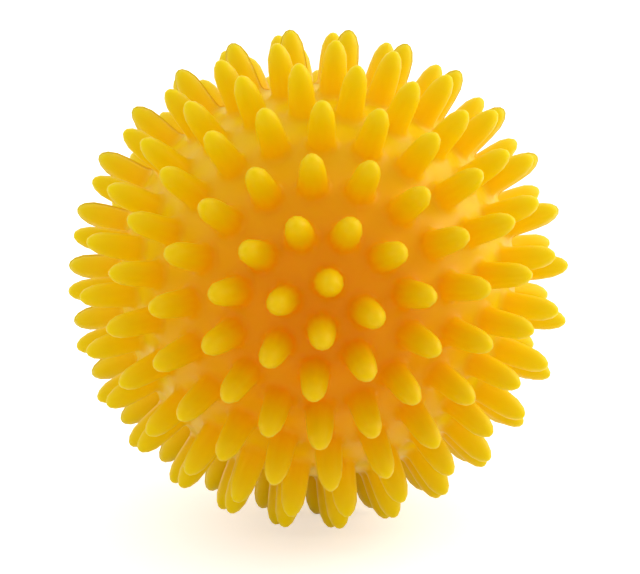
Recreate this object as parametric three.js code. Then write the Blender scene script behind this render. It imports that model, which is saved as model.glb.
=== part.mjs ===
// Spiky massage ball: a hollow moulded skin with its spikes, a valve bush set in the wall and a pull-out plug.
// Millimetres, +Z up. The origin is the centre of the ball and Y is the axis of the mould's two halves:
// the front half's middle spike points to -Y, and the valve takes that spike's place on the back half, at +Y.

import * as THREE from "three";
import { ConvexHull } from "three/addons/math/ConvexHull.js";
import { mergeVertices } from "three/addons/utils/BufferGeometryUtils.js";

// Skin
const shellRadius = 31.5;
const wallThickness = 2;
const cavitySteps = 12;

// Spikes: a slightly tapered flank, then a blunt rounded nose that starts at the shoulder
const spikeLength = 8.5;
const spikeBaseRadius = 2.4;
const spikeShoulderRadius = 1.95;
const spikeNoseLength = 4.2;
const spikeSides = 6;
// Where sections are taken on the nose, in degrees from its shoulder round to its tip
const noseSections = [25, 62];

// Rings of spikes on each half: angle from the half's pole, number of spikes, and turn of the first one, in degrees
const halfRings = [
  { angle: 11.8, count: 6, turn: 21.5 },
  { angle: 24, count: 13, turn: 19.8 },
  { angle: 37.5, count: 18, turn: 13.2 },
  { angle: 51.4, count: 23, turn: 11.3 },
  { angle: 64.4, count: 26, turn: 11.9 },
  { angle: 76.6, count: 27, turn: 6.2 },
];
// Ring on the parting plane, which both halves share
const partingRing = { angle: 90, count: 27, turn: 3.1 };

// Valve bush: flush in a hole in the wall, held from inside by its flange, with a recess for the plug's head
const bushRadius = 2.8;
const bushLength = 9;
const bushSeam = 0.3;
const flangeRadius = 4.2;
const flangeThickness = 1.4;
const bossRadius = 2.2;
const recessDepth = 0.6;

// Valve plug: a stopper whose head stands a little proud of the bush
const shankRadius = 0.9;
const shankLength = 7.5;
const shankTipRadius = 0.6;
const shankTipLength = 1;
const headRadius = 1.8;
const headThickness = 1.2;
const headChamfer = 0.4;
const plugClearance = 0.3;

const roundSegments = 24;

// Sizes that follow from those above
const cavityRadius = shellRadius - wallThickness;
const holeRadius = bushRadius + bushSeam;
const boreRadius = shankRadius + plugClearance;
const recessRadius = headRadius + plugClearance;
const bushFace = heightOnSphere(shellRadius, bushRadius);
const recessFloor = bushFace - recessDepth;
const sideAngle = (2 * Math.PI) / spikeSides;
const spikeCornerFactor = Math.sqrt(sideAngle / Math.sin(sideAngle));

const mouldAxis = new THREE.Vector3(0, 1, 0);

// Distance from the centre, along an axis, at which a sphere has a given radius about that axis
function heightOnSphere(sphereRadius, radius) {
  return Math.sqrt(sphereRadius ** 2 - radius ** 2);
}

// Points of a circle about an axis through the centre, counter-clockwise seen from outside
function circle(axis, along, radius, sides) {
  const side = new THREE.Vector3().crossVectors(mouldAxis, axis);
  if (side.lengthSq() < Number.EPSILON) side.set(1, 0, 0);
  side.normalize();
  const up = new THREE.Vector3().crossVectors(axis, side);
  return Array.from({ length: sides }, (_, i) => {
    const angle = (2 * Math.PI * i) / sides;
    return new THREE.Vector3()
      .addScaledVector(axis, along)
      .addScaledVector(side, radius * Math.cos(angle))
      .addScaledVector(up, radius * Math.sin(angle));
  });
}

// Triangles between two circles of equally many points
function band(lower, upper) {
  return lower.flatMap((point, i) => {
    const next = (i + 1) % lower.length;
    return [point, lower[next], upper[next], point, upper[next], upper[i]];
  });
}

// Triangles through a row of circles, closed by an apex
function loft(circles, apex) {
  const bands = circles.slice(1).flatMap((upper, i) => band(circles[i], upper));
  const last = circles.at(-1);
  const cap = last.flatMap((point, i) => [point, last[(i + 1) % last.length], apex]);
  return [...bands, ...cap];
}

// Directions of one ring of spikes, on the front half (side -1) or the back half (side 1)
function ringDirections({ angle, count, turn }, side) {
  const polar = THREE.MathUtils.degToRad(angle);
  return Array.from({ length: count }, (_, i) => {
    const around = THREE.MathUtils.degToRad(turn) + (2 * Math.PI * i) / count;
    const out = Math.sin(polar);
    return new THREE.Vector3(out * Math.cos(around), side * Math.cos(polar), out * Math.sin(around));
  });
}

function spikeDirections() {
  const frontPole = mouldAxis.clone().negate();
  const halves = [-1, 1].flatMap((side) => halfRings.flatMap((ring) => ringDirections(ring, side)));
  return [frontPole, ...halves, ...ringDirections(partingRing, 1)];
}

// Section of a spike, with its corners set so that it has the area of the round section
function spikeSection(axis, along, radius) {
  return circle(axis, along, radius * spikeCornerFactor, spikeSides);
}

// Foot of a spike: the section in which it leaves the shell
function spikeFoot(axis) {
  return spikeSection(axis, heightOnSphere(shellRadius, spikeBaseRadius * spikeCornerFactor), spikeBaseRadius);
}

// A spike from its foot over the sections of its elliptic nose to the tip
function spike(axis, foot) {
  const shoulderHeight = shellRadius + spikeLength - spikeNoseLength;
  const nose = noseSections.map((degrees) => {
    const angle = THREE.MathUtils.degToRad(degrees);
    const along = shoulderHeight + spikeNoseLength * Math.sin(angle);
    return spikeSection(axis, along, spikeShoulderRadius * Math.cos(angle));
  });
  const tip = axis.clone().multiplyScalar(shellRadius + spikeLength);
  return loft([foot, ...nose], tip);
}

// The shell between the circles: the convex hull of all of them, without the faces inside any one circle
function shellBetween(circles) {
  const owner = new Map();
  circles.forEach((points, i) => points.forEach((point) => owner.set(point, i)));
  const hull = new ConvexHull().setFromPoints(circles.flat());
  return hull.faces.flatMap((face) => {
    const corners = [0, 1, 2].map((i) => face.getEdge(i).head().point);
    const owners = new Set(corners.map((point) => owner.get(point)));
    return owners.size === 1 ? [] : corners;
  });
}

// Valve hole and inner wall, from the hole's outer rim through to the far pole of the cavity
function cavity(rim) {
  const edges = [holeRadius, flangeRadius + bushSeam].map((radius) => Math.asin(radius / cavityRadius));
  const start = edges.at(-1);
  const steps = Array.from({ length: cavitySteps - 1 }, (_, i) => {
    return start + ((Math.PI - start) * (i + 1)) / cavitySteps;
  });
  const circles = [...edges, ...steps].map((polar) => {
    const radius = cavityRadius * Math.sin(polar);
    return circle(mouldAxis, cavityRadius * Math.cos(polar), radius, roundSegments);
  });
  return loft([rim, ...circles], mouldAxis.clone().multiplyScalar(-cavityRadius));
}

function ballSkin() {
  const directions = spikeDirections();
  const feet = directions.map(spikeFoot);
  const rim = circle(mouldAxis, heightOnSphere(shellRadius, holeRadius), holeRadius, roundSegments);
  const spikes = directions.flatMap((axis, i) => spike(axis, feet[i]));
  const corners = [...shellBetween([...feet, rim]), ...spikes, ...cavity(rim)];
  return mergeVertices(new THREE.BufferGeometry().setFromPoints(corners));
}

// Solid of revolution about Y from [radius, height] points
function turned(profile) {
  const geometry = new THREE.LatheGeometry(profile.map(([r, y]) => new THREE.Vector2(r, y)), roundSegments);
  geometry.deleteAttribute("normal");
  geometry.deleteAttribute("uv");
  return mergeVertices(geometry);
}

// Bush with a bore for the plug. The flange's face follows the inner wall, one seam away
function valveBush() {
  const foot = bushFace - bushLength;
  const flangeEdge = heightOnSphere(cavityRadius, flangeRadius + bushSeam) - bushSeam;
  const flangeNeck = heightOnSphere(cavityRadius, holeRadius) - bushSeam;
  const flangeBack = flangeEdge - flangeThickness;
  return turned([
    [boreRadius, foot],
    [bossRadius, foot],
    [bossRadius, flangeBack],
    [flangeRadius, flangeBack],
    [flangeRadius, flangeEdge],
    [bushRadius, flangeNeck],
    [bushRadius, bushFace],
    [recessRadius, bushFace],
    [recessRadius, recessFloor],
    [boreRadius, recessFloor],
    [boreRadius, foot],
  ]);
}

// Plug with a tapered end on its shank and a flat head
function valvePlug() {
  const headBack = recessFloor + plugClearance;
  const headFace = headBack + headThickness;
  const shankEnd = headBack - shankLength;
  return turned([
    [0, shankEnd],
    [shankTipRadius, shankEnd],
    [shankRadius, shankEnd + shankTipLength],
    [shankRadius, headBack],
    [headRadius, headBack],
    [headRadius, headFace - headChamfer],
    [headRadius - headChamfer, headFace],
    [0, headFace],
  ]);
}

// Finishes
const skinFinish = { color: 0xeeb400, roughness: 0.4 };
const bushFinish = { color: 0xeeb400, roughness: 0.45 };
const plugFinish = { color: 0xf2dfae, roughness: 0.4 };

function piece(name, geometry, finish) {
  geometry.computeVertexNormals();
  const mesh = new THREE.Mesh(geometry, new THREE.MeshStandardMaterial(finish));
  mesh.name = name;
  return mesh;
}

const ball = new THREE.Group();
ball.add(piece("ball_skin", ballSkin(), skinFinish));
ball.add(piece("valve_bush", valveBush(), bushFinish));
ball.add(piece("valve_plug", valvePlug(), plugFinish));

export default ball;
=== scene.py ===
"""Spiky massage ball: a hollow moulded vinyl skin with rounded spikes, and a plugged air valve in its back.

Metres, +Z up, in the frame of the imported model: the origin is the centre of the ball, the front half's middle
spike points to -Y and the valve opens to +Y. Sizes are written in millimetres and turned to metres by MM.
"""

import logging
import math
from dataclasses import dataclass, field, replace
from enum import Enum

import bmesh
import bpy
import numpy as np
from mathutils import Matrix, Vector


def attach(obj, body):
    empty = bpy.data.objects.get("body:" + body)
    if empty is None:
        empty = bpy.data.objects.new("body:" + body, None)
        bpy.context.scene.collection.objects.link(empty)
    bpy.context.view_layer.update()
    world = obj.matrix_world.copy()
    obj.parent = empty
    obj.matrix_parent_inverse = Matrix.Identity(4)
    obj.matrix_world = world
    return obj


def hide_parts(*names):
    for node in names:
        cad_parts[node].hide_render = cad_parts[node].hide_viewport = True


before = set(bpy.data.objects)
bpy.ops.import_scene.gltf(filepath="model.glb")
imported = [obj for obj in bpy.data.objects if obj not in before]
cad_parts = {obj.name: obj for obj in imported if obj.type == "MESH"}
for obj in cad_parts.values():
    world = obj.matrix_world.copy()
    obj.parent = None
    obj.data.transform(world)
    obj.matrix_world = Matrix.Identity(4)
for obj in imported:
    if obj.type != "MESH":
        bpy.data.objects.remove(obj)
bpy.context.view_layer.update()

MM = 0.001
MOULD_AXIS = np.array([0.0, 1.0, 0.0])
log = logging.getLogger("massage_ball")


class Body(Enum):
    """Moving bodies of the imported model."""

    BALL = "ball"
    PLUG = "plug"


class Slot(Enum):
    """Material slots of the record."""

    SKIN = "skin_vinyl"
    BUSH = "bush_vinyl"
    PLUG = "plug_vinyl"


def linear(hex_colour: str) -> tuple[float, float, float, float]:
    """Turns an sRGB hex colour to linear light.

    Args:
        hex_colour: six hex digits, red first.

    Returns:
        Linear red, green and blue, and an alpha of one.
    """
    parts = [int(hex_colour[i : i + 2], 16) / 255 for i in (0, 2, 4)]
    red, green, blue = [p / 12.92 if p <= 0.04045 else ((p + 0.055) / 1.055) ** 2.4 for p in parts]
    return red, green, blue, 1.0


def add_node(tree: bpy.types.NodeTree, kind: str, settings: dict | None = None, **inputs) -> bpy.types.Node:
    """Adds a node to a tree, sets it and links it.

    Args:
        tree: the node tree.
        kind: the node's type name.
        settings: properties of the node by name.
        inputs: values or output sockets for the node's inputs, by socket name with _ for a space.

    Returns:
        The new node.
    """
    node = tree.nodes.new(kind)
    for name, value in (settings or {}).items():
        setattr(node, name, value)
    for name, value in inputs.items():
        socket = node.inputs[name.replace("_", " ")]
        if isinstance(value, bpy.types.NodeSocket):
            tree.links.new(value, socket)
        else:
            socket.default_value = value
    return node


def new_material(name: str) -> tuple[bpy.types.Material, bpy.types.NodeTree, bpy.types.Node]:
    """Makes an empty node material.

    Args:
        name: the material's name.

    Returns:
        The material, its node tree and its output node.
    """
    material = bpy.data.materials.new(name)
    material.use_nodes = True
    material.node_tree.nodes.clear()
    output = material.node_tree.nodes.new("ShaderNodeOutputMaterial")
    return material, material.node_tree, output


def mesh_object(
    name: str, points: np.ndarray, quads: np.ndarray, triangles: np.ndarray
) -> bpy.types.Object:
    """Makes a smooth mesh object at the origin from arrays.

    Args:
        name: the object's name.
        points: point coordinates in metres, one row each.
        quads: point numbers of the four-sided faces, one row each.
        triangles: point numbers of the three-sided faces, one row each.

    Returns:
        The object, linked to the scene.
    """
    corners = np.concatenate([quads.ravel(), triangles.ravel()]).astype(np.int32)
    sizes = np.repeat([4, 3], [len(quads), len(triangles)])
    starts = np.concatenate([[0], np.cumsum(sizes)[:-1]]).astype(np.int32)
    mesh = bpy.data.meshes.new(name)
    mesh.vertices.add(len(points))
    mesh.vertices.foreach_set("co", points.astype(np.float32).ravel())
    mesh.loops.add(len(corners))
    mesh.loops.foreach_set("vertex_index", corners)
    mesh.polygons.add(len(starts))
    mesh.polygons.foreach_set("loop_start", starts)
    mesh.update(calc_edges=True)
    mesh.validate()
    mesh.shade_smooth()
    thing = bpy.data.objects.new(name, mesh)
    bpy.context.scene.collection.objects.link(thing)
    return thing


def grid_quads(rows: int, columns: int, closed_rows: bool = False) -> np.ndarray:
    """Faces of a grid of points that closes round on itself along its columns.

    Face (i, j) joins points (i, j), (i, j+1), (i+1, j+1) and (i+1, j), where j+1 wraps round.

    Args:
        rows: number of rows of points.
        columns: number of points in a row.
        closed_rows: whether the last row joins the first one too.

    Returns:
        Point numbers of the faces, one row each.
    """
    i, j = np.meshgrid(np.arange(rows if closed_rows else rows - 1), np.arange(columns), indexing="ij")
    below, above = i % rows * columns, (i + 1) % rows * columns
    after = (j + 1) % columns
    return np.stack([below + j, below + after, above + after, above + j], axis=-1).reshape(-1, 4)


def fan(ring: np.ndarray, apex: int) -> np.ndarray:
    """Triangles from each side of a ring of points to an apex.

    Args:
        ring: point numbers of the ring, counter-clockwise seen from the apex's outer side.
        apex: point number of the apex.

    Returns:
        Point numbers of the triangles, one row each.
    """
    return np.stack([ring, np.roll(ring, -1), np.full(len(ring), apex)], axis=-1)


def rounded(profile: np.ndarray, radius: float, steps: int = 4) -> np.ndarray:
    """Rounds the corners of a profile.

    Each inner corner C gives way to the curve (1-t)^2 A + 2t(1-t) C + t^2 B, where A and B lie on its two
    sides, the radius away or half the side's length where that is less.

    Args:
        profile: corners of the profile, one row each.
        radius: how far from a corner its rounding starts.
        steps: points on each rounded corner.

    Returns:
        Points of the rounded profile, with the first and last corner kept.
    """
    before, corner, after = profile[:-2], profile[1:-1], profile[2:]

    def towards(other: np.ndarray) -> np.ndarray:
        """Points on the sides towards the neighbouring corners, where the rounding starts.

        Args:
            other: the neighbouring corner of each corner.

        Returns:
            One point for each corner.
        """
        side = other - corner
        length = np.linalg.norm(side, axis=1, keepdims=True)
        return corner + side / length * np.minimum(radius, length / 2)

    t = np.linspace(0, 1, steps)[None, :, None]
    start, end = towards(before)[:, None], towards(after)[:, None]
    curves = (1 - t) ** 2 * start + 2 * t * (1 - t) * corner[:, None] + t**2 * end
    return np.concatenate([profile[:1], curves.reshape(-1, 2), profile[-1:]])


def axis_sides(axes: np.ndarray) -> tuple[np.ndarray, np.ndarray]:
    """Two directions square to each axis: S = mould axis x A, normalised, and U = A x S.

    Args:
        axes: unit vectors, one row each.

    Returns:
        The side and the up directions, one row each.
    """
    side = np.cross(MOULD_AXIS, axes)
    length = np.linalg.norm(side, axis=1, keepdims=True)
    side = np.where(length < 1e-9, [1.0, 0.0, 0.0], side / np.maximum(length, 1e-9))
    return side, np.cross(axes, side)


def circles(axes: np.ndarray, along: np.ndarray, radius: np.ndarray, sides: int) -> np.ndarray:
    """Circles about axes through the centre, counter-clockwise seen from outside.

    A point is P = A along + (S cos t + U sin t) radius.

    Args:
        axes: unit vectors, one row each.
        along: distance of each circle from the centre.
        radius: radius of each circle.
        sides: points on a circle.

    Returns:
        Points, by axis, circle and point on the circle.
    """
    side, up = axis_sides(axes)
    t = np.arange(sides) * 2 * np.pi / sides
    out = side[:, None] * np.cos(t)[None, :, None] + up[:, None] * np.sin(t)[None, :, None]
    return axes[:, None, None] * along[None, :, None, None] + out[:, None] * radius[None, :, None, None]


@dataclass(frozen=True)
class SpikeRing:
    """A ring of spikes: angle from the half's pole, number of spikes and turn of the first, in degrees."""

    angle: float
    count: int
    turn: float

    def directions(self, side: int) -> np.ndarray:
        """Axes of the ring's spikes: (sin a cos t, side cos a, sin a sin t).

        Args:
            side: -1 on the front half, 1 on the back half.

        Returns:
            Unit vectors, one row each.
        """
        a = math.radians(self.angle)
        t = math.radians(self.turn) + np.arange(self.count) * 2 * np.pi / self.count
        depth = np.full(self.count, side * math.cos(a))
        return np.stack([math.sin(a) * np.cos(t), depth, math.sin(a) * np.sin(t)], axis=-1)


@dataclass(frozen=True)
class SpikeShape:
    """A spike, in millimetres: a fillet at the foot, a slightly tapered flank and a blunt elliptic nose."""

    length: float = 8.5
    base_radius: float = 2.1
    shoulder_radius: float = 1.94
    nose_length: float = 4.2
    fillet: float = 0.85
    nose_angles: tuple[float, ...] = (0, 28, 52, 73)
    sides: int = 12

    def profile(self, shell_radius: float) -> tuple[np.ndarray, np.ndarray]:
        """Distance from the centre and radius of the spike's sections, from the foot to just below the tip.

        The foot lies on the shell, the fillet's middle at 1 - sqrt(1/2) of the fillet from both surfaces, and
        a section of the nose at the angle a has the height shoulder + nose sin a and the radius shoulder
        radius times cos a.

        Args:
            shell_radius: radius of the shell.

        Returns:
            Distances from the centre and radii, in millimetres.
        """
        curl = (1 - math.sqrt(0.5)) * self.fillet
        a = np.radians(self.nose_angles)
        foot = self.base_radius + self.fillet
        foot_height = math.sqrt(shell_radius**2 - foot**2)
        shoulder = shell_radius + self.length - self.nose_length
        low = [foot_height, shell_radius + curl, shell_radius + self.fillet]
        wide = [foot, self.base_radius + curl, self.base_radius]
        along = np.concatenate([low, shoulder + self.nose_length * np.sin(a)])
        radius = np.concatenate([wide, self.shoulder_radius * np.cos(a)])
        return along, radius


@dataclass(frozen=True)
class VinylFinish:
    """Soft PVC, moulded: cloudy and translucent, with a satin skin from the mould.

    The colours are those of the shell and of a spike's foot, flank and tip, on the ball's middle and at its
    poles.
    The poles' colours are painted shade: a deeper orange round both ends of the mould axis, deepest between
    the spikes and paler up towards the tips. The gloss is weak and warm, because the skin is soft and a little
    dull, and a faint yellow bloom at glancing angles stands for light that comes through the edges. Lengths are
    in millimetres, and the angle from the pole, within which the painted shade deepens the colour, is in
    degrees.
    """

    name: str
    middle: tuple[str, ...]
    # painted shade: the deeper orange colours used round both poles
    poles: tuple[str, ...] | None = None
    levels: tuple[float, ...] = (0.0, 0.1, 0.5, 1.0)
    # angle from the pole within which the painted shade deepens the colour
    pole_shade_angle: float = 58.0
    roughness: tuple[float, float] = (0.42, 0.45)
    dull_level: float = 0.4
    ior: float = 1.53
    gloss: float = 0.32
    gloss_tint: str = "FFCC88"
    bloom: float = 0.2
    bloom_spread: float = 0.5
    bloom_tint: str = "FFD800"
    translucence: float = 1.0
    depth: tuple[float, float, float] = (2.2, 2.0, 1.0)
    grain: float = 0.45
    grain_height: float = 0.05
    grain_strength: float = 0.12
    cloud: float = 14.0
    clouding: float = 0.06

    def level(self, tree: bpy.types.NodeTree, place: bpy.types.NodeSocket) -> bpy.types.NodeSocket:
        """Adds the height above the shell, from 0 to 1, with a slow drift that clouds the colour.

        Args:
            tree: the material's node tree.
            place: the object coordinates.

        Returns:
            The socket that gives the height.
        """
        height = add_node(tree, "ShaderNodeAttribute", {"attribute_name": "height"}).outputs["Fac"]
        scale = 1 / (self.cloud * MM)
        clouds = add_node(tree, "ShaderNodeTexNoise", Vector=place, Scale=scale, Detail=2.0, Roughness=0.5)
        drift = add_node(
            tree,
            "ShaderNodeMapRange",
            Value=clouds.outputs["Fac"],
            To_Min=-self.clouding,
            To_Max=self.clouding,
        )
        level = add_node(tree, "ShaderNodeMath", {"operation": "ADD", "use_clamp": True})
        tree.links.new(height, level.inputs[0])
        tree.links.new(drift.outputs["Result"], level.inputs[1])
        return level.outputs["Value"]

    def colour(
        self, tree: bpy.types.NodeTree, place: bpy.types.NodeSocket, level: bpy.types.NodeSocket
    ) -> bpy.types.NodeSocket:
        """Adds the colour: one run up the spikes for the ball's middle and one of painted shade for its poles,
        mixed.

        The poles' share, painted shade, rises with the cosine of the angle from the pole, from none at its
        angle.

        Args:
            tree: the material's node tree.
            place: the object coordinates.
            level: the height above the shell.

        Returns:
            The socket that gives the colour.
        """
        ramps = []
        for colours in (self.middle, self.poles or self.middle):
            ramp = add_node(tree, "ShaderNodeValToRGB", Fac=level)
            stops = ramp.color_ramp.elements
            stops[0].color, stops[1].color = linear(colours[0]), linear(colours[-1])
            for position, colour in zip(self.levels[1:-1], colours[1:-1]):
                stops.new(position).color = linear(colour)
            ramps.append(ramp.outputs["Color"])
        # painted shade: the poles' colours take over towards both ends of the mould axis
        outward = add_node(tree, "ShaderNodeVectorMath", {"operation": "NORMALIZE"}, Vector=place)
        along = add_node(tree, "ShaderNodeSeparateXYZ", Vector=outward.outputs["Vector"])
        cosine = add_node(tree, "ShaderNodeMath", {"operation": "ABSOLUTE"}, Value=along.outputs["Y"])
        edge = math.cos(math.radians(self.pole_shade_angle))
        share = add_node(tree, "ShaderNodeMapRange", Value=cosine.outputs["Value"], From_Min=edge)
        middle, poles = ramps
        mixed = add_node(tree, "ShaderNodeMixRGB", Fac=share.outputs["Result"], Color1=middle, Color2=poles)
        return mixed.outputs["Color"]

    def material(self) -> bpy.types.Material:
        """Makes the vinyl: clouded colour, a fine mould grain, a satin gloss and soft depth.

        Returns:
            The material.
        """
        material, tree, output = new_material(self.name)
        place = add_node(tree, "ShaderNodeTexCoord").outputs["Object"]
        level = self.level(tree, place)
        scale = 1 / (self.grain * MM)
        grain = add_node(tree, "ShaderNodeTexNoise", Vector=place, Scale=scale, Detail=3.0, Roughness=0.55)
        smooth, dull = self.roughness
        rough = add_node(
            tree, "ShaderNodeMapRange", Value=level, From_Max=self.dull_level, To_Min=smooth, To_Max=dull
        )
        bump = add_node(
            tree,
            "ShaderNodeBump",
            Strength=self.grain_strength,
            Distance=self.grain_height * MM,
            Height=grain.outputs["Fac"],
        )
        shader = add_node(
            tree,
            "ShaderNodeBsdfPrincipled",
            Base_Color=self.colour(tree, place, level),
            Roughness=rough.outputs["Result"],
            IOR=self.ior,
            Specular_IOR_Level=self.gloss,
            Specular_Tint=linear(self.gloss_tint),
            Normal=bump.outputs["Normal"],
            Subsurface_Weight=self.translucence,
            Subsurface_Radius=[d * MM for d in self.depth],
            Subsurface_Scale=1.0,
            Sheen_Weight=self.bloom,
            Sheen_Roughness=self.bloom_spread,
            Sheen_Tint=linear(self.bloom_tint),
        )
        tree.links.new(shader.outputs["BSDF"], output.inputs["Surface"])
        return material


# Soft and cloudy: golden on the middle of the ball, with painted shade round its poles: deep orange between the
# spikes
SKIN_VINYL = VinylFinish(
    "soft_pvc_moulded_yellow",
    middle=("FFCA00", "F8CC00", "F0D000", "E4C800"),
    # painted shade: deep orange between the spikes round both poles, paler up the spikes
    poles=("FF9E00", "EEA200", "E4B600", "DEB800"),
)
# The same vinyl squeezed out to a thin ridge between the mould's halves: no depth to glow
FLASH_VINYL = replace(SKIN_VINYL, name="soft_pvc_flash_yellow", translucence=0.0)
# Firmer and denser, so a little darker and clouded, without glow
BUSH_VINYL = VinylFinish(
    "firm_pvc_moulded_yellow",
    middle=("DC9600", "EAAA00", "EAAA00", "EAAA00"),
    roughness=(0.42, 0.5),
    translucence=0.1,
)
# Firm and undyed, so cream, with the same clouding
PLUG_VINYL = VinylFinish(
    "firm_pvc_moulded_cream",
    middle=("EBD8A8", "F4E6C2", "F4E6C2", "F4E6C2"),
    roughness=(0.4, 0.48),
    translucence=0.1,
)


def dress(thing: bpy.types.Object, finish: VinylFinish, body: Body) -> None:
    """Gives a piece its finish and the body that it rides on.

    Args:
        thing: the piece.
        finish: its finish.
        body: the body that it moves with.
    """
    thing.data.materials.append(finish.material())
    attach(thing, body.value)
    log.info("%s: %d faces", thing.name, len(thing.data.polygons))


def outer_hull(points: np.ndarray) -> np.ndarray:
    """Triangles of the convex hull of points, all facing outwards.

    Args:
        points: points on a sphere, one row each.

    Returns:
        Point numbers of the triangles, one row each.
    """
    cloud = bpy.data.meshes.new("cloud")
    cloud.vertices.add(len(points))
    cloud.vertices.foreach_set("co", points.astype(np.float32).ravel())
    work = bmesh.new()
    work.from_mesh(cloud)
    bmesh.ops.convex_hull(work, input=work.verts)
    bmesh.ops.triangulate(work, faces=work.faces)
    work.to_mesh(cloud)
    work.free()
    triangles = np.empty(len(cloud.polygons) * 3, np.int32)
    cloud.polygons.foreach_get("vertices", triangles)
    bpy.data.meshes.remove(cloud)
    triangles = triangles.reshape(-1, 3)
    a, b, c = (points[triangles[:, i]] for i in range(3))
    inward = (np.cross(b - a, c - a) * (a + b + c)).sum(axis=1) < 0
    triangles[inward] = triangles[inward][:, ::-1]
    return triangles


def set_heights(thing: bpy.types.Object, heights: np.ndarray) -> None:
    """Writes each point's height above the shell into the attribute that the vinyl reads.

    Args:
        thing: the piece.
        heights: one value from 0 at the shell to 1 at a spike's tip for each point.
    """
    attribute = thing.data.attributes.new("height", "FLOAT", "POINT")
    attribute.data.foreach_set("value", heights.astype(np.float32))


@dataclass
class BallSkin:
    """The hollow skin with its spikes, in millimetres."""

    shell_radius: float = 31.5
    wall: float = 2.0
    hole_radius: float = 3.1
    spike: SpikeShape = field(default_factory=SpikeShape)
    half_rings: tuple[SpikeRing, ...] = (
        SpikeRing(11.8, 6, 21.5),
        SpikeRing(24, 13, 19.8),
        SpikeRing(37.5, 18, 13.2),
        SpikeRing(51.4, 23, 11.3),
        SpikeRing(64.4, 26, 11.9),
        SpikeRing(76.6, 27, 6.2),
    )
    parting_ring: SpikeRing = SpikeRing(90, 27, 3.1)
    round_sides: int = 48
    shell_points: int = 3000
    shell_margin: float = 0.5
    cavity_rows: int = 24
    flash_width: float = 0.3
    flash_height: float = 0.12
    flash_root: float = 0.06

    def spike_axes(self) -> np.ndarray:
        """Axes of all the spikes: the front pole, the rings of both halves and the ring on the parting plane.

        Returns:
            Unit vectors, one row each.
        """
        halves = [ring.directions(side) for side in (-1, 1) for ring in self.half_rings]
        return np.concatenate([-MOULD_AXIS[None], *halves, self.parting_ring.directions(1)])

    def shell_between(
        self, feet: np.ndarray, rim: np.ndarray, axes: np.ndarray
    ) -> tuple[np.ndarray, np.ndarray]:
        """The shell's faces between the spikes' feet and the valve hole, as the hull of points on the sphere.

        Points between the feet follow the golden spiral: height 1 - (2k+1)/n and turn k pi (3 - sqrt 5).

        Args:
            feet: points of the feet, by spike and point.
            rim: points of the valve hole's rim.
            axes: axes of the spikes.

        Returns:
            The points between the feet, and triangles that number the feet's points, the rim's and these.
        """
        k = np.arange(self.shell_points)
        height = 1 - (2 * k + 1) / self.shell_points
        turn = k * np.pi * (3 - math.sqrt(5))
        out = np.sqrt(1 - height**2)
        spread = np.stack([out * np.cos(turn), height, out * np.sin(turn)], axis=-1)
        foot_reach = (self.spike.base_radius + self.spike.fillet + self.shell_margin) / self.shell_radius
        hole_reach = (self.hole_radius + self.shell_margin) / self.shell_radius
        clear_of_feet = (spread @ axes.T).max(axis=1) < math.cos(foot_reach)
        clear_of_hole = spread @ MOULD_AXIS < math.cos(hole_reach)
        spread = spread[clear_of_feet & clear_of_hole]
        cloud = np.concatenate([feet.reshape(-1, 3) / self.shell_radius, rim / self.shell_radius, spread])
        cloud /= np.linalg.norm(cloud, axis=1, keepdims=True)
        owner = np.concatenate(
            [
                np.repeat(np.arange(len(feet)), feet.shape[1]),
                np.full(len(rim), len(feet)),
                len(feet) + 1 + np.arange(len(spread)),
            ]
        )
        triangles = outer_hull(cloud)
        one_circle = (owner[triangles] == owner[triangles[:, :1]]).all(axis=1)
        return spread * self.shell_radius, triangles[~one_circle]

    def cavity(self) -> np.ndarray:
        """Circles of the inner wall, from the valve hole's inner edge to near the far pole.

        Row i is the circle of radius R sin a at the height R cos a, with a from the hole's edge to near pi.

        Returns:
            Points by row and column.
        """
        inner = self.shell_radius - self.wall
        a = np.linspace(math.asin(self.hole_radius / inner), np.pi, self.cavity_rows + 1)[:-1]
        return circles(MOULD_AXIS[None], inner * np.cos(a), inner * np.sin(a), self.round_sides)[0]

    def build(self) -> bpy.types.Object:
        """Makes the skin as one closed mesh: spikes, the shell between them, the valve hole and the inside.

        Returns:
            The skin, with each point's height above the shell as a share of the spike's length.
        """
        axes = self.spike_axes()
        along, radius = self.spike.profile(self.shell_radius)
        spikes = circles(axes, along, radius, self.spike.sides)
        tips = axes * (self.shell_radius + self.spike.length)
        hole_height = math.sqrt(self.shell_radius**2 - self.hole_radius**2)
        hole = np.array([hole_height]), np.array([self.hole_radius])
        rim = circles(MOULD_AXIS[None], *hole, self.round_sides)[0, 0]
        spread, shell = self.shell_between(spikes[:, 0], rim, axes)
        cavity = self.cavity()
        far_pole = -MOULD_AXIS[None] * (self.shell_radius - self.wall)
        parts = [spikes.reshape(-1, 3), tips, rim, spread, cavity.reshape(-1, 3), far_pole]
        starts = np.concatenate([[0], np.cumsum([len(p) for p in parts])])
        first_tip, first_rim, first_spread, first_cavity, pole = starts[1:6]

        count, rows, sides = spikes.shape[:3]
        block = np.arange(count)[:, None, None] * rows * sides
        flanks = (grid_quads(rows, sides)[None] + block).reshape(-1, 4)
        last_row = (rows - 1) * sides + np.arange(sides)
        caps = np.stack(
            np.broadcast_arrays(
                block[:, :, 0] + last_row,
                block[:, :, 0] + np.roll(last_row, -1),
                first_tip + np.arange(count)[:, None],
            ),
            axis=-1,
        ).reshape(-1, 3)
        feet_numbers = (block[:, :, 0] + np.arange(sides)).ravel()
        rim_numbers = first_rim + np.arange(len(rim))
        shell_numbers = np.concatenate([feet_numbers, rim_numbers, first_spread + np.arange(len(spread))])
        wall_numbers = np.concatenate([rim_numbers, np.arange(first_cavity, pole)])
        wall = wall_numbers[grid_quads(len(cavity) + 1, self.round_sides)]
        floor = fan(wall_numbers[-self.round_sides :], pole)

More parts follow.
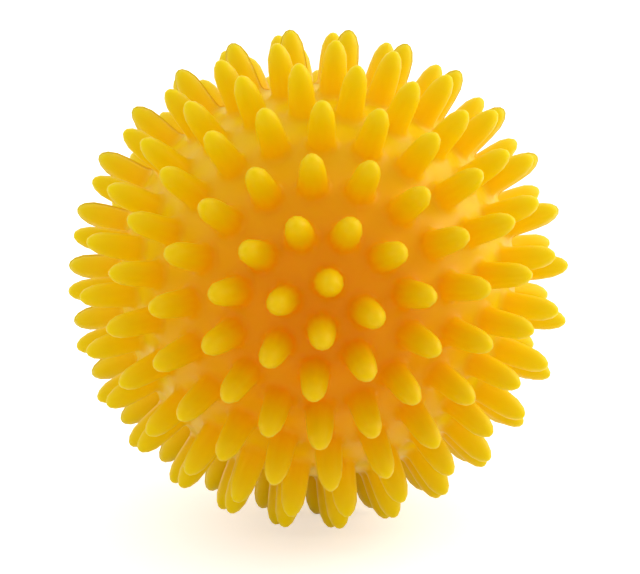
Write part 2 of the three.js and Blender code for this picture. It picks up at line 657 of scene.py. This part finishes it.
        skin = mesh_object(
            "ball_skin_moulded",
            np.concatenate(parts) * MM,
            np.concatenate([flanks, wall]),
            np.concatenate([shell_numbers[shell], caps, floor]),
        )
        heights = np.zeros(starts[-1], np.float32)
        rise = np.clip((along - self.shell_radius) / self.spike.length, 0, 1)
        heights[:first_tip] = np.tile(np.repeat(rise, sides), count)
        heights[first_tip:first_rim] = 1
        set_heights(skin, heights)
        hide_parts("ball_skin")
        return skin

    def build_flash(self) -> bpy.types.Object:
        """Makes the fine ridge that the mould's parting line leaves over the spikes on the parting plane.

        The path is the outline of their ring in the plane: up one side of each spike, over its tip and down
        the other. A low rounded section is carried along it: P = path + normal times rise + Y times width.

        Returns:
            The ridge, as one closed mesh.
        """
        axes = self.parting_ring.directions(1)
        along, radius = self.spike.profile(self.shell_radius)
        along = np.concatenate([along, [self.shell_radius + self.spike.length], along[::-1]])
        across = np.concatenate([-radius, [0], radius[::-1]])
        sideways = np.stack([-axes[:, 2], np.zeros(len(axes)), axes[:, 0]], axis=-1)
        path = axes[:, None] * along[None, :, None] + sideways[:, None] * across[None, :, None]
        path = path.reshape(-1, 3)
        tangent = np.roll(path, -1, axis=0) - np.roll(path, 1, axis=0)
        normal = np.cross(tangent, MOULD_AXIS)
        normal /= -np.linalg.norm(normal, axis=1, keepdims=True)
        wide = np.array([-0.5, -0.28, 0, 0.28, 0.5]) * self.flash_width
        rise = np.array([0, 0.6, 1, 0.6, 0]) * self.flash_height
        rise[[0, -1]] = -self.flash_root
        points = path[:, None] + normal[:, None] * rise[None, :, None] + MOULD_AXIS * wide[None, :, None]
        rows, columns = points.shape[:2]
        quads = grid_quads(rows, columns, closed_rows=True)
        flash = mesh_object("parting_flash", points.reshape(-1, 3) * MM, quads, np.empty((0, 3), int))
        share = np.clip((along - self.shell_radius) / self.spike.length, 0, 1)
        set_heights(flash, np.repeat(np.tile(share, len(axes)), columns))
        return flash


def turned(name: str, profile: np.ndarray, segments: int, closed: bool) -> bpy.types.Object:
    """Turns a profile about the mould axis: P = (radius sin t, height, radius cos t).

    Args:
        name: the object's name.
        profile: radius and height of each point in millimetres, anticlockwise round the half section.
        segments: points round the axis.
        closed: whether the profile is a loop. Otherwise it starts and ends on the axis.

    Returns:
        The closed solid of revolution.
    """
    rows = profile[:-1] if closed else profile[1:-1]
    t = np.arange(segments) * 2 * np.pi / segments
    radius, height = rows[:, :1], rows[:, 1:]
    grid = np.broadcast_arrays(radius * np.sin(t), height, radius * np.cos(t))
    points = np.stack(grid, axis=-1).reshape(-1, 3)
    quads = grid_quads(len(rows), segments, closed_rows=closed)
    triangles = np.empty((0, 3), int)
    if not closed:
        poles = np.array([[0, profile[0, 1], 0], [0, profile[-1, 1], 0]])
        first, last = np.arange(segments), len(points) - segments + np.arange(segments)
        triangles = np.concatenate([fan(first[::-1], len(points)), fan(last, len(points) + 1)])
        points = np.concatenate([points, poles])
    thing = mesh_object(name, points * MM, quads, triangles)
    set_heights(thing, np.zeros(len(points)))
    return thing


@dataclass
class AirValve:
    """The bush in the skin's wall and the plug in its bore, in millimetres."""

    shell_radius: float
    wall: float
    bush_radius: float = 2.8
    bush_length: float = 9.0
    seam: float = 0.3
    flange_radius: float = 4.2
    flange_thickness: float = 1.4
    boss_radius: float = 2.2
    recess_depth: float = 0.6
    shank_radius: float = 0.9
    shank_length: float = 7.5
    tip_radius: float = 0.6
    tip_length: float = 1.0
    head_radius: float = 1.8
    head_thickness: float = 1.2
    dish_depth: float = 0.25
    dish_rim: float = 1.08
    dish_floor: float = 0.72
    clearance: float = 0.3
    edge: float = 0.2
    segments: int = 48

    def levels(self) -> tuple[float, float]:
        """Heights along the valve's axis of the bush's face and of the floor of its recess.

        Returns:
            The two heights.
        """
        face = math.sqrt(self.shell_radius**2 - self.bush_radius**2)
        return face, face - self.recess_depth

    def build_bush(self) -> bpy.types.Object:
        """Makes the bush: a boss with a flange behind the wall, and a recess and a bore for the plug.

        Returns:
            The bush.
        """
        face, recess = self.levels()
        inner = self.shell_radius - self.wall
        foot = face - self.bush_length
        flange_edge = math.sqrt(inner**2 - (self.flange_radius + self.seam) ** 2) - self.seam
        flange_neck = math.sqrt(inner**2 - (self.bush_radius + self.seam) ** 2) - self.seam
        back = flange_edge - self.flange_thickness
        bore = self.shank_radius + self.clearance
        dish = self.head_radius + self.clearance
        middle = (bore + self.boss_radius) / 2
        corners = np.array(
            [
                [middle, foot],
                [self.boss_radius, foot],
                [self.boss_radius, back],
                [self.flange_radius, back],
                [self.flange_radius, flange_edge],
                [self.bush_radius, flange_neck],
                [self.bush_radius, face],
                [dish, face],
                [dish, recess],
                [bore, recess],
                [bore, foot],
                [middle, foot],
            ]
        )
        bush = turned("valve_bush_moulded", rounded(corners, self.edge), self.segments, closed=True)
        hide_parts("valve_bush")
        return bush

    def build_plug(self) -> bpy.types.Object:
        """Makes the plug: a shank with a tapered end and a head with a shallow dish for the finger.

        Returns:
            The plug.
        """
        _, recess = self.levels()
        back = recess + self.clearance
        top = back + self.head_thickness
        end = back - self.shank_length
        corners = np.array(
            [
                [0, end],
                [self.tip_radius, end],
                [self.shank_radius, end + self.tip_length],
                [self.shank_radius, back],
                [self.head_radius, back],
                [self.head_radius, top],
                [self.dish_rim, top],
                [self.dish_floor, top - self.dish_depth],
                [0, top - self.dish_depth],
            ]
        )
        plug = turned("valve_plug_moulded", rounded(corners, self.edge), self.segments, closed=False)
        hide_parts("valve_plug")
        return plug


@dataclass(frozen=True)
class SoftLamp:
    """A square lamp that faces the ball: its middle and side in metres, and its power in watts."""

    name: str
    place: tuple[float, float, float]
    size: float
    watts: float

    def build(self) -> None:
        """Hangs the lamp."""
        data = bpy.data.lights.new(self.name, "AREA")
        data.energy, data.size = self.watts, self.size
        lamp = bpy.data.objects.new(self.name, data)
        lamp.location = self.place
        lamp.rotation_mode = "QUATERNION"
        lamp.rotation_quaternion = (-Vector(self.place)).to_track_quat("-Z", "Y")
        bpy.context.scene.collection.objects.link(lamp)


@dataclass
class Studio:
    """The floor, the lamps, the white surroundings and the camera, in metres and degrees."""

    floor_size: float = 6.0
    floor_level: float = -0.04
    floor_paper: str = "F4F4F4"
    floor_glow: float = 0.46
    ambient_front: float = 0.74
    ambient_back: float = 1.06
    ambient_turn: float = 0.3
    lamps: tuple[SoftLamp, ...] = (
        SoftLamp("right_light", (1.0, 0.15, 0.6), 0.75, 5.0),
        SoftLamp("left_light", (-1.0, 0.1, 0.6), 1.2, 0.4),
    )
    image_width: int = 640
    image_height: int = 574
    ball_column: float = 318.3
    ball_row: float = 279.5
    focal_pixels: float = 1588.5
    sensor_width: float = 36.0
    camera_distance: float = 0.256
    camera_azimuth: float = -0.83
    camera_elevation: float = 12.5

    def seen_rays(self, tree: bpy.types.NodeTree) -> bpy.types.NodeSocket:
        """Adds a switch for what is seen: 1 for camera, glossy and transmission rays, 0 for those that light.

        Args:
            tree: the node tree of a material or a world.

        Returns:
            The socket that gives the switch.
        """
        path = add_node(tree, "ShaderNodeLightPath")
        mirrored = add_node(tree, "ShaderNodeMath", {"operation": "MAXIMUM"})
        tree.links.new(path.outputs["Is Glossy Ray"], mirrored.inputs[0])
        tree.links.new(path.outputs["Is Transmission Ray"], mirrored.inputs[1])
        seen = add_node(tree, "ShaderNodeMath", {"operation": "MAXIMUM"})
        tree.links.new(path.outputs["Is Camera Ray"], seen.inputs[0])
        tree.links.new(mirrored.outputs["Value"], seen.inputs[1])
        return seen.outputs["Value"]

    def build_floor(self) -> None:
        """Lays a plain white floor that keeps the ball's shadow."""
        half = self.floor_size / 2
        corners = [[-half, -half], [half, -half], [half, half], [-half, half]]
        points = np.array([[x, y, self.floor_level] for x, y in corners])
        floor = mesh_object("floor", points, np.array([[0, 1, 2, 3]]), np.empty((0, 3), int))
        material, tree, output = new_material("studio_paper_white")
        glow = add_node(tree, "ShaderNodeMapRange", Value=self.seen_rays(tree), To_Max=self.floor_glow)
        paper = add_node(tree, "ShaderNodeBsdfDiffuse", Color=linear(self.floor_paper))
        light = add_node(tree, "ShaderNodeEmission", Color=(1, 1, 1, 1), Strength=glow.outputs["Result"])
        both = tree.nodes.new("ShaderNodeAddShader")
        tree.links.new(paper.outputs["BSDF"], both.inputs[0])
        tree.links.new(light.outputs["Emission"], both.inputs[1])
        tree.links.new(both.outputs["Shader"], output.inputs["Surface"])
        floor.data.materials.append(material)

    def build_world(self) -> None:
        """Surrounds the ball with white, as seen and in reflections. As light it is weaker from the front."""
        world = bpy.data.worlds.new("white_studio")
        world.use_nodes = True
        tree = world.node_tree
        tree.nodes.clear()
        direction = add_node(tree, "ShaderNodeTexCoord").outputs["Generated"]
        backward = add_node(tree, "ShaderNodeSeparateXYZ", Vector=direction).outputs["Y"]
        soft = add_node(
            tree,
            "ShaderNodeMapRange",
            Value=backward,
            From_Min=-1.0,
            From_Max=self.ambient_turn,
            To_Min=self.ambient_front,
            To_Max=self.ambient_back,
        ).outputs["Result"]
        strength = add_node(
            tree, "ShaderNodeMapRange", Value=self.seen_rays(tree), To_Min=soft, To_Max=1.0
        ).outputs["Result"]
        background = add_node(tree, "ShaderNodeBackground", Color=(1, 1, 1, 1), Strength=strength)
        output = tree.nodes.new("ShaderNodeOutputWorld")
        tree.links.new(background.outputs["Background"], output.inputs["Surface"])
        bpy.context.scene.world = world

    def build_camera(self) -> None:
        """Sets the camera on the photograph's line of sight, with the ball's centre on its pixel."""
        azimuth, elevation = math.radians(self.camera_azimuth), math.radians(self.camera_elevation)
        level = math.cos(elevation)
        back = Vector((math.sin(azimuth) * level, -math.cos(azimuth) * level, math.sin(elevation)))
        right = Vector((0, 0, 1)).cross(back).normalized()
        up = back.cross(right)
        per_pixel = self.camera_distance / self.focal_pixels
        aim = right * (self.image_width / 2 - self.ball_column) * per_pixel
        aim += up * (self.ball_row - self.image_height / 2) * per_pixel
        data = bpy.data.cameras.new("camera")
        data.sensor_width = self.sensor_width
        data.lens = self.focal_pixels * self.sensor_width / self.image_width
        data.clip_start, data.clip_end = 0.01, 50
        camera = bpy.data.objects.new("camera", data)
        camera.location = back * self.camera_distance
        camera.rotation_mode = "QUATERNION"
        camera.rotation_quaternion = (aim - camera.location).to_track_quat("-Z", "Y")
        bpy.context.scene.collection.objects.link(camera)
        bpy.context.scene.camera = camera

    def build(self) -> None:
        """Sets the stage: floor, surroundings, a key lamp at the upper right, a fill at the left, a camera."""
        self.build_floor()
        self.build_world()
        for lamp in self.lamps:
            lamp.build()
        self.build_camera()


def main() -> None:
    """Builds the pieces and the studio."""
    logging.basicConfig(level=logging.INFO, format="%(name)s: %(message)s")
    bpy.context.scene.view_settings.view_transform = "Standard"
    skin = BallSkin()
    dress(skin.build(), SKIN_VINYL, Body.BALL)
    dress(skin.build_flash(), FLASH_VINYL, Body.BALL)
    valve = AirValve(skin.shell_radius, skin.wall)
    dress(valve.build_bush(), BUSH_VINYL, Body.BALL)
    dress(valve.build_plug(), PLUG_VINYL, Body.PLUG)
    Studio().build()


if __name__ == "__main__":
    main()
